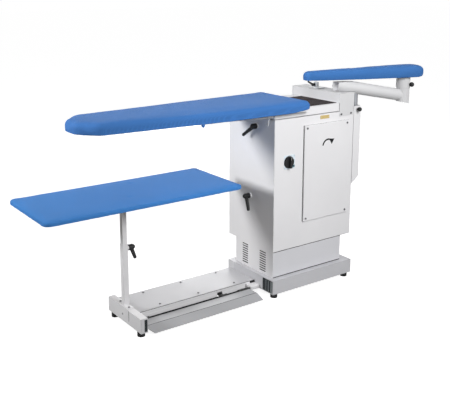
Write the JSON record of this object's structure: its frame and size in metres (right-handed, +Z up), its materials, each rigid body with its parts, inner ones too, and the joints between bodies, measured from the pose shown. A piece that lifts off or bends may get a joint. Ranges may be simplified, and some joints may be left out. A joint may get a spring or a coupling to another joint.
{
  "type": "ironing table",
  "caption": "Ironing table with a padded tapered board on a fan cabinet, a cloth shelf on a telescoping post, a treadle pedal and a swinging padded sleeve buck.",
  "frame": {"origin": "on the floor, under the middle of the whole table's bounding box", "axes": "+X along the board towards the sleeve buck, +Y away from the operator, +Z up"},
  "size_m": [2.0229, 0.4799, 1.056],
  "materials": {
    "white_paint": "satin powder coat",
    "grey_paint": "satin powder coat",
    "motor_paint": "satin",
    "steel": "zinc plated",
    "aluminium": "satin",
    "black_plastic": "fine grain",
    "pale_plastic": "matte",
    "black_rubber": "matte",
    "brown_rubber": "matte",
    "plywood": "bare",
    "blue_cloth": "woven",
    "felt": "felted"
  },
  "bodies": {
    "frame": {"end_foot": "white_paint", "left_panel": "white_paint", "front_panel": "white_paint", "wrap_panel": "white_paint", "cabinet_top": "white_paint", "cabinet_floor": "white_paint", "plinth_wrap": "white_paint", "access_door": "white_paint", "column_guide": "white_paint", "bridge": "white_paint", "arm_mast": "white_paint", "outer_post": "white_paint", "platform_plate": "white_paint", "platform_front_rail": "white_paint", "platform_rear_rail": "white_paint", "base_front_beam": "grey_paint", "base_rear_beam": "grey_paint", "base_plate": "grey_paint", "tube_caps": "grey_paint", "fan_motor": "motor_paint", "fan_volute": "motor_paint", "foot_studs": "steel", "frame_screws": "steel", "hinge_rod": "steel", "pedal_spring": "steel", "accessory_socket": "steel", "pedal_switch": "black_plastic", "mast_bushes": "black_plastic", "switch_body": "black_plastic", "switch_plate": "pale_plastic", "rubber_feet": "black_rubber"},
    "board_unit": {"board_column": "white_paint", "top_casing": "white_paint", "iron_mat": "brown_rubber", "board_duct": "white_paint", "board_pan": "white_paint", "board_grid": "steel", "board_felt": "felt", "board_cover": "blue_cloth", "heating_element": "steel"},
    "upper_lever": {"upper_lever": "black_plastic"},
    "lower_lever": {"lower_lever": "black_plastic"},
    "shelf": {"inner_post": "white_paint", "shelf_bracket": "white_paint", "shelf_panel": "plywood", "shelf_cover": "blue_cloth"},
    "post_lever": {"post_lever": "black_plastic"},
    "pedal": {"pedal": "white_paint"},
    "plunger": {"switch_plunger": "black_plastic"},
    "rotor": {"fan_shaft": "steel", "fan_impeller": "aluminium"},
    "switch_knob": {"switch_knob": "black_plastic"},
    "arm": {"arm_tube": "white_paint", "pivot_shaft": "steel"},
    "buck": {"buck_holder": "white_paint", "buck_frame": "white_paint", "buck_cover": "blue_cloth"},
    "arm_knob": {"arm_lock_knob": "black_plastic"},
    "buck_knob": {"buck_lock_knob": "black_plastic"},
    "accessory_lever": {"accessory_lever": "black_plastic"}
  },
  "joints": [
    {"name": "board_lift", "type": "slide", "parent": "frame", "child": "board_unit", "axis": [0, 0, 1], "range_m": [0, 0.05]},
    {"name": "upper_lever_turn", "type": "hinge", "parent": "frame", "child": "upper_lever", "pos_m": [0.1025, 0, 0.806], "axis": [1, 0, 0], "range_deg": [-120, 60]},
    {"name": "lower_lever_turn", "type": "hinge", "parent": "frame", "child": "lower_lever", "pos_m": [0.1025, 0.048, 0.458], "axis": [1, 0, 0], "range_deg": [-120, 120]},
    {"name": "shelf_lift", "type": "slide", "parent": "frame", "child": "shelf", "axis": [0, 0, 1], "range_m": [-0.1, 0.11]},
    {"name": "post_lever_turn", "type": "hinge", "parent": "frame", "child": "post_lever", "pos_m": [-0.57304, 0.021, 0.346], "axis": [1, 0, 0], "range_deg": [-120, 120]},
    {"name": "pedal_press", "type": "hinge", "parent": "frame", "child": "pedal", "pos_m": [-0.2695, -0.051, 0.032], "axis": [1, 0, 0], "range_deg": [0, 6], "stiffness_Nm_per_rad": 8, "springref_deg": -20.05, "deforming": ["pedal_spring"]},
    {"name": "plunger_slide", "type": "slide", "parent": "frame", "child": "plunger", "axis": [0, 0, 1], "range_m": [0, 0.0085]},
    {"name": "fan_spin", "type": "hinge", "parent": "frame", "child": "rotor", "pos_m": [0.4105, 0.021, 0.52], "axis": [0, 1, 0], "continuous": true},
    {"name": "switch_turn", "type": "hinge", "parent": "frame", "child": "switch_knob", "pos_m": [0.1965, -0.131, 0.645], "axis": [0, -1, 0], "range_deg": [-90, 0]},
    {"name": "arm_swivel", "type": "hinge", "parent": "frame", "child": "arm", "pos_m": [0.633, -0.1065, 0.868], "axis": [0, 0, 1], "range_deg": [-55, 55]},
    {"name": "buck_swivel", "type": "hinge", "parent": "arm", "child": "buck", "pos_m": [0.90772, -0.17018, 0.941], "axis": [0, 0, 1], "range_deg": [-90, 90]},
    {"name": "arm_knob_turn", "type": "hinge", "parent": "frame", "child": "arm_knob", "pos_m": [0.633, -0.129, 0.852], "axis": [0, -1, 0], "range_deg": [-180, 180]},
    {"name": "buck_knob_turn", "type": "hinge", "parent": "buck", "child": "buck_knob", "pos_m": [0.91938, -0.20844, 0.959], "axis": [0.2915, -0.9566, 0], "range_deg": [-180, 180]},
    {"name": "accessory_lever_turn", "type": "hinge", "parent": "frame", "child": "accessory_lever", "pos_m": [0.5395, 0.086, 0.956], "axis": [1, 0, 0], "range_deg": [-20, 140]}
  ],
  "couplings": [
    {"joint": "plunger_slide", "follows": "pedal_press", "m_per_rad": 0.0794}
  ]
}
